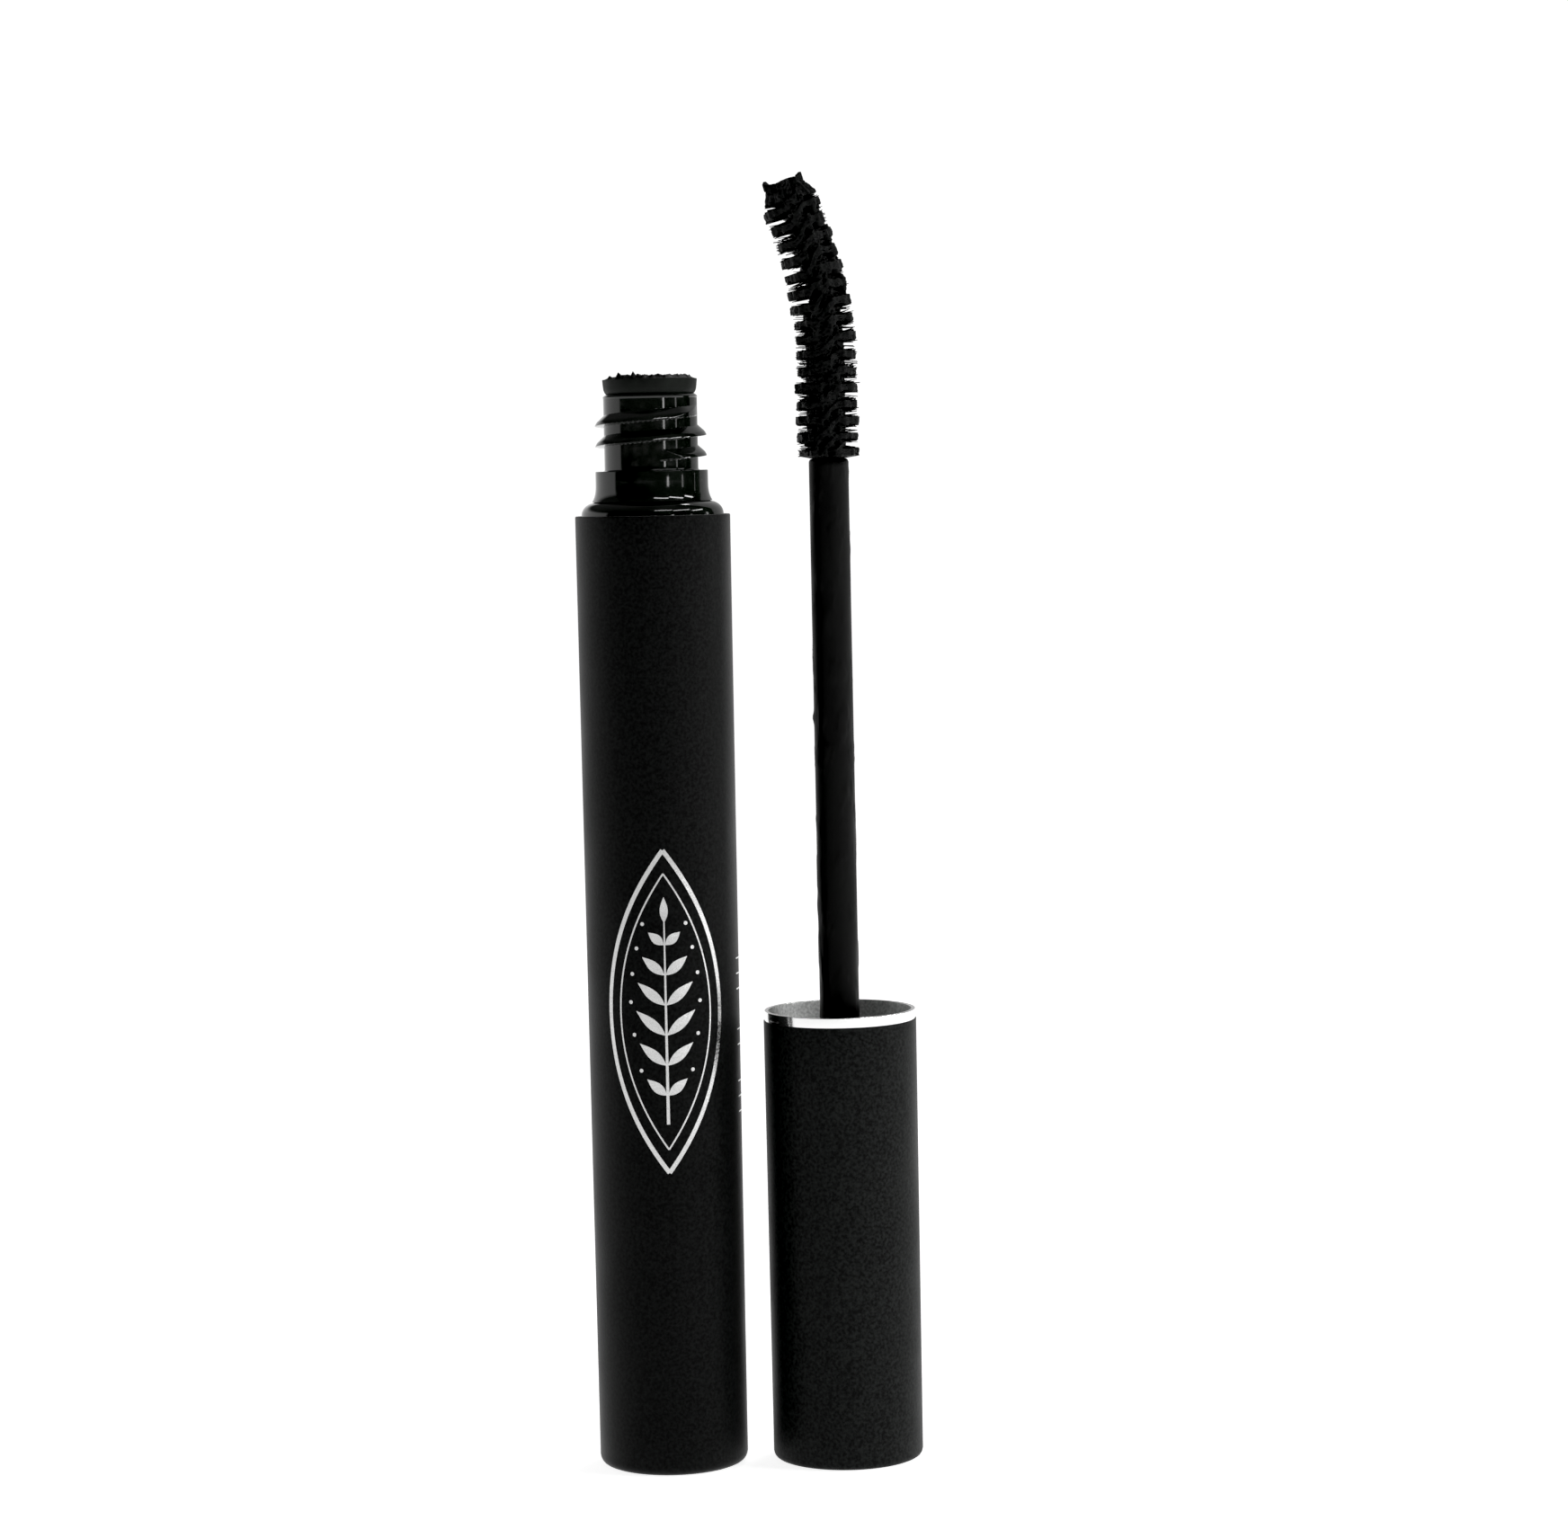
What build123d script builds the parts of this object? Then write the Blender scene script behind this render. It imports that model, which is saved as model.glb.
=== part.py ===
from build123d import *

import math
import os

# A mascara tube that stands open: the bottle, and beside it the applicator, upside down on its cap.
# Millimetres, +Z up. The bottle's axis is the Z axis and its base stands on Z = 0. The applicator's
# axis is parallel to it, on +X. Radii and heights are of each part as it stands.

# Driving dimensions
TUBE_D = 16.0  # outer diameter of the bottle at its top
SLEEVE_H = 98.94  # height of the bottle's outer shell
CAP_H = 46.1  # height of the cap's outer shell
RING_SHOWN = 1.03  # how far the metal ring stands out of the cap
NECK_R = 4.83  # neck, at the root of the thread
STEM_R = 2.05
PITCH = 2.1  # single start, right hand
STAND_GAP = 2.34  # between the bottle and the cap beside it
FIT = 0.03  # gap left in a pressed or snapped fit

# Bottle shell
SLEEVE_TOP_R = TUBE_D / 2
SLEEVE_BASE_R = SLEEVE_TOP_R - 0.28
SLEEVE_WALL = 0.62
SLEEVE_FLOOR = 1.0
BASE_ROUND = 1.0
LIP_ROUND = 0.15
INSIDE_ROUND = 0.3
SNAP_Z = 95.6  # where the inner bottle snaps into the shell
SNAP_H = 0.6
SNAP_DEPTH = 0.12
SNAP_CUT = 1.0  # how far the cutter for its groove starts inside

# Inner bottle
SHOULDER_R = 7.34
SHOULDER_ROUND = 1.3
SHOULDER_Z = SLEEVE_H + SHOULDER_ROUND
COLLAR_R = 5.8
COLLAR_FOOT_ROUND = 0.2
COLLAR_Z = 103.5
COLLAR_ROUND = 0.25
NECK_FOOT_ROUND = 0.3
NECK_TOP = 111.4
NECK_CHAMFER = 0.35
NECK_BORE_R = 3.9
VIAL_R = 6.75
VIAL_BORE_R = 5.8
VIAL_FLOOR = 1.4
VIAL_ROUND = 0.8
SKIRT_Z = 91.0
SKIRT_SLOPE_H = 1.2
NECK_THROAT_Z = 98.6
THROAT_SLOPE_H = 3.0
RIB_COUNT = 6
RIB_H = 14.0
RIB_W = 0.8
RIB_FOOT = 1.0

# Thread: flat below, sloped above
THREAD_CREST_R = 5.75
THREAD_FLAT = 0.25
THREAD_TURNS = 2.2
THREAD_START_DEG = -80.0
THREAD_CREST_Z = 105.1  # height of the crest where it first passes +X
THREAD_PLAY = 0.12
THREAD_SUNK = 0.2  # how far a thread reaches into the wall that carries it

# Wiper
WIPER_R = 4.86
WIPER_FLANGE_H = 1.5
WIPER_UNDERCUT = 0.3
WIPER_TOP_ROUND = 0.15
WIPER_UNDER_ROUND = 0.2
WIPER_LIP_T = 0.6
WIPER_THROAT_R = 3.1
ORIFICE_R = STEM_R + 0.1
ORIFICE_TOP = 101.2
ORIFICE_END = 99.6
WIPER_CONE_TOP = 104.4
WIPER_PLUG_H = 8.0

# Mascara
FILL_TOP = 78.0
CHANNEL_R = 3.65
CHANNEL_FLOOR = 5.0
CHANNEL_MOUTH_R = 4.85
CHANNEL_MOUTH_H = 4.0
FILL_DIP = 0.8
FILL_FOOT = 1.0

# Applicator. CLOSED_SUM turns a height on the bottle into the applicator's height that meets it there
# when the cap is screwed home: applicator height = CLOSED_SUM - bottle height.
CAP_MOUTH_R = SLEEVE_TOP_R - 0.04
CAP_END_R = CAP_MOUTH_R - 0.13
CAP_WALL = 0.55
CAP_FLOOR = 1.0
CAP_ROUND = 0.7
RIM_Z = CAP_H + RING_SHOWN
CLOSED_SUM = SLEEVE_H + RIM_Z
AXIS_X = SLEEVE_TOP_R + STAND_GAP + CAP_MOUTH_R
RING_R = 7.85
RING_BORE_R = 7.46
RING_WAIST_R = 7.36
RING_SKIRT_BORE_R = 7.2
RING_SKIRT_Z = 42.6
RING_SLOPE_H = 0.8
RING_ROUND = 0.12

# Inner cap. The gaps are those left when the cap is screwed home.
MOUTH_GAP = 0.27  # from the inner cap's mouth to the collar
SEAT_GAP = 0.12  # from a washer that lies on its seat to the wiper
LINER_R = 7.2
LINER_MOUTH = CLOSED_SUM - COLLAR_Z - MOUTH_GAP
LINER_BORE_R = THREAD_CREST_R + 0.2
LINER_CREST_R = NECK_R + 0.17
LINER_TURNS = 1.6
LINER_CREST_H = 0.55
LINER_RIDGE_H = 1.35
LINER_CHAMFER = 0.4
WASHER_H = 1.0
WASHER_R = 5.55
SEAT_Z = CLOSED_SUM - (NECK_TOP + WIPER_FLANGE_H) - WASHER_H - SEAT_GAP
WEB_H = 2.0
SOCKET_R = 3.5
SOCKET_Z = 20.0
SOCKET_FLOOR = 1.0
LINER_WALL = 0.9
LINER_RIBS = 4
LINER_RIB_W = 0.9
RIB_BITE = 0.4  # how far a rib's two ends reach into the walls, taken together
WASHER_LIFT = 0.05
WASHER_PLAY = 0.2

# Stem and brush
STEM_TOP = 104.4
STEM_TIP_ROUND = 0.35
BEAD_Z = SOCKET_Z + 3.6  # middle of the bead that snaps into the socket
BEAD_HALF_H = 0.6
BEAD_DEPTH = 0.18
BEAD_CUT = 0.5  # how far the cutter for its groove starts inside
WIRE_R = 0.64
WIRE_IN_STEM = 8.0
BRUSH_STRAIGHT = 10.3
BRUSH_BEND_R = 34.0
BRUSH_BEND_DEG = 16.5
BRUSH_END_RUN = 9.1
ROW_SPACING = 1.69
ROW_T = 1.0
FIRST_ROW = 0.6
BRUSH_R = 3.13
BRUSH_TIP_R = 2.7
ROOT_R = 1.35

os.makedirs("parts", exist_ok=True)


def write(piece, name):
    """Labels a finished piece and writes it as one STEP file."""
    piece.part.label = name
    export_step(piece.part, f"parts/{name}.step")


def round_corner(x, z, radius):
    """Rounds the corner nearest to (x, z) of the profile that is being drawn."""
    fillet(vertices().sort_by_distance((x, z))[0], radius)


def sleeve_bore(z):
    """Inner radius of the bottle's shell at height z."""
    return SLEEVE_BASE_R - SLEEVE_WALL + (SLEEVE_TOP_R - SLEEVE_BASE_R) * z / SLEEVE_H


def cap_bore(z):
    """Inner radius of the cap's shell at height z."""
    return CAP_END_R - CAP_WALL + (CAP_MOUTH_R - CAP_END_R) * z / CAP_H


def screw_line(axis_x, degrees, z, radius, turns):
    """Right-hand helix about an upright axis, starting at the angle and height given."""
    helix = Helix(pitch=PITCH, height=PITCH * turns, radius=radius)
    return Pos(axis_x, 0, z) * Rot(0, 0, degrees) * helix


def ridge_plane(line, degrees):
    """Plane across a screw line at its start, with X pointing away from the axis and Y up."""
    turn = math.radians(degrees)
    return Plane(origin=line @ 0, x_dir=(math.cos(turn), math.sin(turn), 0), z_dir=-(line % 0))


# The bottle's outer shell: a drafted cup with a groove that the inner bottle snaps into
with BuildPart() as bottle_sleeve:
    with BuildSketch(Plane.XZ):
        Polygon(
            (0, 0),
            (SLEEVE_BASE_R, 0),
            (SLEEVE_TOP_R, SLEEVE_H),
            (sleeve_bore(SLEEVE_H), SLEEVE_H),
            (sleeve_bore(SLEEVE_FLOOR), SLEEVE_FLOOR),
            (0, SLEEVE_FLOOR),
            align=None,
        )
        round_corner(SLEEVE_BASE_R, 0, BASE_ROUND)
        round_corner(SLEEVE_TOP_R, SLEEVE_H, LIP_ROUND)
        round_corner(sleeve_bore(SLEEVE_FLOOR), SLEEVE_FLOOR, INSIDE_ROUND)
    revolve(axis=Axis.Z)
    with BuildSketch(Plane.XZ):
        Polygon(
            (SHOULDER_R - SNAP_CUT, SNAP_Z - SNAP_H - FIT),
            (SHOULDER_R, SNAP_Z - SNAP_H - FIT),
            (SHOULDER_R + SNAP_DEPTH + FIT, SNAP_Z),
            (SHOULDER_R, SNAP_Z + SNAP_H + FIT),
            (SHOULDER_R - SNAP_CUT, SNAP_Z + SNAP_H + FIT),
            align=None,
        )
    revolve(axis=Axis.Z, mode=Mode.SUBTRACT)
write(bottle_sleeve, "bottle_sleeve")

# The vial, shoulder, collar and threaded neck, moulded in one
thread_foot_z = THREAD_CREST_Z + PITCH * THREAD_START_DEG / 360
thread_line = screw_line(0, THREAD_START_DEG, thread_foot_z, NECK_R, THREAD_TURNS)
with BuildPart() as inner_bottle:
    with BuildSketch(Plane.XZ):
        with BuildLine():
            Polyline(
                (0, SLEEVE_FLOOR),
                (VIAL_R, SLEEVE_FLOOR),
                (VIAL_R, SKIRT_Z),
                (SHOULDER_R, SKIRT_Z + SKIRT_SLOPE_H),
                (SHOULDER_R, SNAP_Z - SNAP_H),
                (SHOULDER_R + SNAP_DEPTH, SNAP_Z),
                (SHOULDER_R, SNAP_Z + SNAP_H),
                (SHOULDER_R, SLEEVE_H),
            )
            RadiusArc(
                (SHOULDER_R, SLEEVE_H),
                (SHOULDER_R - SHOULDER_ROUND, SHOULDER_Z),
                -SHOULDER_ROUND,
            )
            Polyline(
                (SHOULDER_R - SHOULDER_ROUND, SHOULDER_Z),
                (COLLAR_R, SHOULDER_Z),
                (COLLAR_R, COLLAR_Z),
                (NECK_R, COLLAR_Z),
                (NECK_R, NECK_TOP),
                (NECK_BORE_R, NECK_TOP),
                (NECK_BORE_R, NECK_THROAT_Z),
                (VIAL_BORE_R, NECK_THROAT_Z - THROAT_SLOPE_H),
                (VIAL_BORE_R, SLEEVE_FLOOR + VIAL_FLOOR),
                (0, SLEEVE_FLOOR + VIAL_FLOOR),
                (0, SLEEVE_FLOOR),
            )
        make_face()
        round_corner(VIAL_R, SLEEVE_FLOOR, VIAL_ROUND)
        round_corner(COLLAR_R, SHOULDER_Z, COLLAR_FOOT_ROUND)
        round_corner(COLLAR_R, COLLAR_Z, COLLAR_ROUND)
        round_corner(NECK_R, COLLAR_Z, NECK_FOOT_ROUND)
        round_corner(VIAL_BORE_R, SLEEVE_FLOOR + VIAL_FLOOR, VIAL_ROUND)
        chamfer(vertices().sort_by_distance((NECK_R, NECK_TOP))[0], NECK_CHAMFER)
    revolve(axis=Axis.Z)
    # ribs that centre the vial in the shell
    with BuildSketch(Plane.XY.offset(SLEEVE_FLOOR + RIB_FOOT)):
        with PolarLocations((VIAL_R + sleeve_bore(0)) / 2 - FIT, RIB_COUNT):
            Rectangle(sleeve_bore(0) - VIAL_R, RIB_W)
    extrude(amount=RIB_H)
    # the thread
    with BuildSketch(ridge_plane(thread_line, THREAD_START_DEG)):
        Polygon(
            (-THREAD_SUNK, -THREAD_FLAT / 2),
            (THREAD_CREST_R - NECK_R, -THREAD_FLAT / 2),
            (THREAD_CREST_R - NECK_R, THREAD_FLAT / 2),
            (-THREAD_SUNK, THREAD_FLAT / 2 + THREAD_CREST_R - NECK_R + THREAD_SUNK),
            align=None,
        )
    sweep(path=thread_line, is_frenet=True)
write(inner_bottle, "inner_bottle")

# The wiper: a flange on the neck, a plug in its bore, and a cone down to the orifice
with BuildPart() as neck_wiper:
    with BuildSketch(Plane.XZ):
        Polygon(
            (WIPER_THROAT_R, NECK_TOP + WIPER_FLANGE_H),
            (WIPER_R, NECK_TOP + WIPER_FLANGE_H),
            (WIPER_R - WIPER_UNDERCUT, NECK_TOP),
            (NECK_BORE_R - FIT, NECK_TOP),
            (NECK_BORE_R - FIT, NECK_TOP - WIPER_PLUG_H),
            (ORIFICE_R + WIPER_LIP_T, ORIFICE_END),
            (ORIFICE_R, ORIFICE_END),
            (ORIFICE_R, ORIFICE_TOP),
            (WIPER_THROAT_R, WIPER_CONE_TOP),
            align=None,
        )
        round_corner(WIPER_R, NECK_TOP + WIPER_FLANGE_H, WIPER_TOP_ROUND)
        round_corner(WIPER_R - WIPER_UNDERCUT, NECK_TOP, WIPER_UNDER_ROUND)
    revolve(axis=Axis.Z)
write(neck_wiper, "neck_wiper")

# The mascara left in the vial. It is thick enough to keep the channel that the brush leaves.
with BuildPart() as mascara_fill:
    with BuildSketch(Plane.XZ):
        Polygon(
            (0, SLEEVE_FLOOR + VIAL_FLOOR),
            (VIAL_BORE_R - FILL_FOOT, SLEEVE_FLOOR + VIAL_FLOOR),
            (VIAL_BORE_R - FIT, SLEEVE_FLOOR + VIAL_FLOOR + FILL_FOOT),
            (VIAL_BORE_R - FIT, FILL_TOP),
            (CHANNEL_MOUTH_R, FILL_TOP - FILL_DIP),
            (CHANNEL_R, FILL_TOP - CHANNEL_MOUTH_H),
            (CHANNEL_R, CHANNEL_FLOOR),
            (0, CHANNEL_FLOOR),
            align=None,
        )
    revolve(axis=Axis.Z)
write(mascara_fill, "mascara_fill")

# Every profile of the applicator is drawn on this plane, where X is the radius and Y the height.
applicator = Plane(origin=(AXIS_X, 0, 0), x_dir=(1, 0, 0), z_dir=(0, -1, 0))
applicator_axis = Axis((AXIS_X, 0, 0), (0, 0, 1))

# The cap's outer shell: a drafted cup that stands on its closed end
with BuildPart() as cap_shell:
    with BuildSketch(applicator):
        Polygon(
            (0, 0),
            (CAP_END_R, 0),
            (CAP_MOUTH_R, CAP_H),
            (cap_bore(CAP_H), CAP_H),
            (cap_bore(CAP_FLOOR), CAP_FLOOR),
            (0, CAP_FLOOR),
            align=None,
        )
        round_corner(CAP_END_R, 0, CAP_ROUND)
    revolve(axis=applicator_axis)
write(cap_shell, "cap_shell")

# The metal ring: a band that shows, and a thinner skirt pressed into the shell
with BuildPart() as trim_ring:
    with BuildSketch(applicator):
        Polygon(
            (RING_R, CAP_H),
            (RING_R, RIM_Z),
            (RING_BORE_R, RIM_Z),
            (RING_WAIST_R, CAP_H),
            (RING_SKIRT_BORE_R, CAP_H - RING_SLOPE_H),
            (RING_SKIRT_BORE_R, RING_SKIRT_Z),
            (cap_bore(RING_SKIRT_Z) - FIT, RING_SKIRT_Z),
            (cap_bore(CAP_H) - FIT, CAP_H),
            align=None,
        )
        round_corner(RING_R, RIM_Z, RING_ROUND)
        round_corner(RING_BORE_R, RIM_Z, RING_ROUND)
    revolve(axis=applicator_axis)
write(trim_ring, "trim_ring")

# The inner cap: a threaded cup above a web, and below it a ribbed socket for the stem. Its thread is
# flat towards the closed end, and half way between the neck's turns when the cap is shut.
liner_thread_deg = 180.0 - THREAD_START_DEG
liner_thread_z = CLOSED_SUM - thread_foot_z - 2 * PITCH + THREAD_FLAT / 2 + THREAD_PLAY
liner_thread_line = screw_line(
    AXIS_X, liner_thread_deg, liner_thread_z, LINER_BORE_R, LINER_TURNS
)
with BuildPart() as inner_cap:
    with BuildSketch(applicator):
        Polygon(
            (STEM_R + FIT, SEAT_Z),
            (LINER_BORE_R, SEAT_Z),
            (LINER_BORE_R, LINER_MOUTH - LINER_CHAMFER),
            (LINER_BORE_R + LINER_CHAMFER, LINER_MOUTH),
            (LINER_R, LINER_MOUTH),
            (LINER_R, CAP_FLOOR),
            (LINER_R - LINER_WALL, CAP_FLOOR),
            (LINER_R - LINER_WALL, SEAT_Z - WEB_H),
            (SOCKET_R, SEAT_Z - WEB_H),
            (SOCKET_R, SOCKET_Z - SOCKET_FLOOR),
            (0, SOCKET_Z - SOCKET_FLOOR),
            (0, SOCKET_Z),
            (STEM_R + FIT, SOCKET_Z),
            align=None,
        )
    revolve(axis=applicator_axis)
    # ribs from the socket to the wall
    with BuildSketch(Plane(origin=(AXIS_X, 0, SOCKET_Z))):
        with PolarLocations((SOCKET_R + LINER_R - LINER_WALL) / 2, LINER_RIBS):
            Rectangle(LINER_R - LINER_WALL - SOCKET_R + RIB_BITE, LINER_RIB_W)
    extrude(amount=SEAT_Z - WEB_H - SOCKET_Z)
    # groove that the stem's bead snaps into
    with BuildSketch(applicator):
        Polygon(
            (STEM_R - BEAD_CUT, BEAD_Z - BEAD_HALF_H),
            (STEM_R + FIT, BEAD_Z - BEAD_HALF_H),
            (STEM_R + BEAD_DEPTH + FIT, BEAD_Z),
            (STEM_R + FIT, BEAD_Z + BEAD_HALF_H),
            (STEM_R - BEAD_CUT, BEAD_Z + BEAD_HALF_H),
            align=None,
        )
    revolve(axis=applicator_axis, mode=Mode.SUBTRACT)
    with BuildSketch(ridge_plane(liner_thread_line, liner_thread_deg)):
        Polygon(
            (THREAD_SUNK, 0),
            (LINER_CREST_R - LINER_BORE_R, 0),
            (LINER_CREST_R - LINER_BORE_R, LINER_CREST_H),
            (THREAD_SUNK, LINER_RIDGE_H),
            align=None,
        )
    sweep(path=liner_thread_line, is_frenet=True)
write(inner_cap, "inner_cap")

# The loose seal, a flat ring that lies on the inner cap's web, round the stem
with BuildPart() as seal_washer:
    with BuildSketch(Plane(origin=(AXIS_X, 0, SEAT_Z + WASHER_LIFT))):
        Circle(WASHER_R)
        Circle(STEM_R + WASHER_PLAY, mode=Mode.SUBTRACT)
    extrude(amount=WASHER_H)
write(seal_washer, "seal_washer")

# The stem, with a snap bead in its socket and a blind hole for the wire in its tip
with BuildPart() as stem:
    with BuildSketch(applicator):
        Polygon(
            (0, SOCKET_Z),
            (STEM_R, SOCKET_Z),
            (STEM_R, BEAD_Z - BEAD_HALF_H),
            (STEM_R + BEAD_DEPTH, BEAD_Z),
            (STEM_R, BEAD_Z + BEAD_HALF_H),
            (STEM_R, STEM_TOP),
            (WIRE_R + FIT, STEM_TOP),
            (WIRE_R + FIT, STEM_TOP - WIRE_IN_STEM),
            (0, STEM_TOP - WIRE_IN_STEM),
            align=None,
        )
        round_corner(STEM_R, STEM_TOP, STEM_TIP_ROUND)
    revolve(axis=applicator_axis)
write(stem, "stem")


def draw_brush_line(foot_z):
    """Draws the brush's centre line on the applicator's plane: straight from foot_z, a bend, and straight."""
    bend_z = STEM_TOP + BRUSH_STRAIGHT
    Line((0, foot_z), (0, bend_z))
    bend = CenterArc((-BRUSH_BEND_R, bend_z), BRUSH_BEND_R, 0, BRUSH_BEND_DEG)
    PolarLine(bend @ 1, BRUSH_END_RUN, BRUSH_BEND_DEG + 90)


# The twisted wire, drawn as one round rod of the twist's own diameter
with BuildPart() as core_wire:
    with BuildLine(applicator) as wire_line:
        draw_brush_line(STEM_TOP - WIRE_IN_STEM)
    with BuildSketch(Plane(origin=(AXIS_X, 0, STEM_TOP - WIRE_IN_STEM))):
        Circle(WIRE_R)
    sweep(path=wire_line.wire())
write(core_wire, "core_wire")

# The bristles: a packed root round the wire, with the rows that the twist spreads along it
with BuildPart() as bristles:
    with BuildLine(applicator) as brush_line:
        draw_brush_line(STEM_TOP)
    brush_path = brush_line.wire()
    brush_foot = Plane(origin=(AXIS_X, 0, STEM_TOP))
    with BuildSketch(brush_foot):
        Circle(ROOT_R)
    sweep(path=brush_path)
    row_count = int((brush_path.length - FIRST_ROW) / ROW_SPACING) + 1
    for row in range(row_count):
        along = (FIRST_ROW + row * ROW_SPACING) / brush_path.length
        radius = BRUSH_R + (BRUSH_TIP_R - BRUSH_R) * along
        with BuildSketch(Plane(origin=brush_path @ along, z_dir=brush_path % along)):
            Circle(radius)
        extrude(amount=ROW_T / 2, both=True)
    with BuildSketch(brush_foot):
        Circle(WIRE_R + FIT)
    sweep(path=brush_path, mode=Mode.SUBTRACT)
write(bristles, "bristles")
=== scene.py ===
import math
import random

import bmesh
import bpy
import numpy as np
from mathutils import Matrix, Vector, noise


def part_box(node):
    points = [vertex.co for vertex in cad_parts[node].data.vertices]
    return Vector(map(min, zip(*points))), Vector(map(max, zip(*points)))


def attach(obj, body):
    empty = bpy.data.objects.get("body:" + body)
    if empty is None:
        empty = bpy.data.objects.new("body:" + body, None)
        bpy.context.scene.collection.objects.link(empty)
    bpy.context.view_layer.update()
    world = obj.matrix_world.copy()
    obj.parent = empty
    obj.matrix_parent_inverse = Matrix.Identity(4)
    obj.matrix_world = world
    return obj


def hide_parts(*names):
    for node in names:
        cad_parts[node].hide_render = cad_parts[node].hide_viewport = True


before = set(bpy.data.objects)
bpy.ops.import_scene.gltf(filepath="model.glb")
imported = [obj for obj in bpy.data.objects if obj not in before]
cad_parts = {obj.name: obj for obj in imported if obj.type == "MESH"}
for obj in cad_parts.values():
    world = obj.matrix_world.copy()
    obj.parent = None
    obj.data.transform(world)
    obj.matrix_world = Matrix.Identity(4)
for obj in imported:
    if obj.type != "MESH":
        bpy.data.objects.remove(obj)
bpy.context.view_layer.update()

# Looks of an open mascara tube: the bottle, and beside it the applicator, which stands on its cap.
# Lengths are millimetres until a mesh is made, in the CAD frame. An outline is a list of
# (radius, height), and a third number rounds that corner.

MM = 0.001
NEAR_AXIS = 0.0001
scene = bpy.context.scene

# Bottle, from its axis
SLEEVE_TOP_R, SLEEVE_BASE_R, SLEEVE_H = 8.0, 7.72, 98.94
SLEEVE_WALL, SLEEVE_FLOOR, SLEEVE_MEAN_R = 0.62, 1.0, 7.9
FOOT_RECESS = 0.25
VIAL_R, VIAL_BORE_R, VIAL_FOOT, VIAL_FLOOR = 6.75, 5.8, 1.05, 2.4
SHOULDER_R, SHOULDER_Z, SHOULDER_ROUND, SHOULDER_RISE = 7.34, 99.0, 1.5, 1.32
FLARE_FOOT, FLARE_TOP, FLARE_OUT = 100.36, 102.4, 0.42
COLLAR_R, COLLAR_Z = 5.8, 103.5
NECK_R, NECK_TOP, NECK_BORE_R, NECK_STEP = 4.83, 111.4, 3.9, 0.036
THREAD_CREST_R, THREAD_FLAT, PITCH = 5.75, 0.25, 2.1
THREAD_FOOT_Z, THREAD_START_DEG, THREAD_SWEEP_DEG = 104.633, -80.0, 792.0
THREAD_FADE_IN_DEG, THREAD_FADE_OUT_DEG = 26, 60
THREAD_BEVEL = (0, 0.08, 0.38, 0.5, 2), (0, 0.38, 0.62, 1.1, 1.1)  # heights above the flat, slopes
BEVEL_STEP = 0.01
WIPER_TOP, WIPER_BORE_R, WIPER_PLUG_R, ORIFICE_R = 112.9, 3.1, 3.84, 2.15
CRUST_POINTS = (  # degrees, radius, height
    (-139, 4.3, 0.62), (-114, 4.35, 0.66), (-128, 4.5, 0.3), (-100, 4.5, 0.34), (-88, 4.4, 0.22),
    (-70, 4.5, 0.22), (-50, 4.3, 0.26), (-30, 4.4, 0.18), (140, 4.2, 0.5), (100, 4.3, 0.3),
    (60, 4.4, 0.35), (15, 4.3, 0.25), (-160, 4.4, 0.3),
)

# Foil ornament on the sleeve, as arc lengths and heights
FOIL_LIFT, FOIL_MIDDLE = 0.02, 48.3
OVALS = (16.6, 6.2, 0.46), (14.2, 4.9, 0.17)  # half height, half width, width of the line
LEAF_LENGTHS, LEAF_SPACING, LEAF_LEAN_DEG = (2.6, 3.5, 3.9, 3.6, 2.9, 2.0), 3.1, 50
SIDE_BAR_ARC, SIDE_BAR_W = 9.9, 0.16
SIDE_BARS = (  # height, length
    (53.0, 3.2), (51.4, 2.4), (49.8, 2.8), (45.6, 3.2), (44.0, 1.8), (40.2, 2.8), (38.6, 3.4),
    (37.0, 2.2),
)

# Applicator, from its axis
AXIS_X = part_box("stem")[0].x / MM / 2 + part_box("stem")[1].x / MM / 2
CAP_H, CAP_MOUTH_R, CAP_END_R = 46.1, 7.96, 7.83
RIM_Z, RING_R, RING_WALL_R, RING_BORE_R, RING_FOOT = 47.13, 7.865, 7.36, 7.2, 42.6
STEM_R, STEM_TOP, STEM_FOOT = 2.05, 104.4, 20.0
WIRE_HOLE_R, WIRE_HOLE_Z = 0.67, 96.4
WASHER_PLAY, WASHER_DENT, WASHER_DENT_R, WASHER_DENT_HALF = 0.2, 0.1, 4.0, 0.8
PORE_SIZE, PORE_SIDE_SHARE, PORE_TOP_SHARE = 0.22, 0.035, 0.1
STEM_SMEARS = (  # degrees, height, how far it stands out, width, length
    (180, 77.6, 0.16, 0.6, 0.7), (176, 58.0, 0.08, 0.8, 1.4), (-60, 70.0, 0.1, 0.5, 1.0),
    (-110, 88.0, 0.08, 0.6, 1.6), (8, 95.0, 0.07, 0.7, 1.1), (100, 66.0, 0.12, 0.7, 1.4),
)
BRUSH_STRAIGHT, BRUSH_BEND_R, BRUSH_LEAN = 10.3, 34.0, math.radians(16.5)
ROW_SPACING, FIRST_ROW = 1.685, 0.5
BODY_START, BODY_END = 0.02, 28.75
TIP_HORNS = (  # angle, width, height
    (math.pi, 0.26, 0.75), (0.12, 0.28, 0.72), (1.6, 0.3, 0.3), (-1.2, 0.35, 0.22),
)
STRAND_R, WIRE_START, WIRE_END = 0.31, -8.0, 28.6
FIBRES, FIBRE_SEED, STRAY_SHARE = 3000, 5, 0.25

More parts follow.
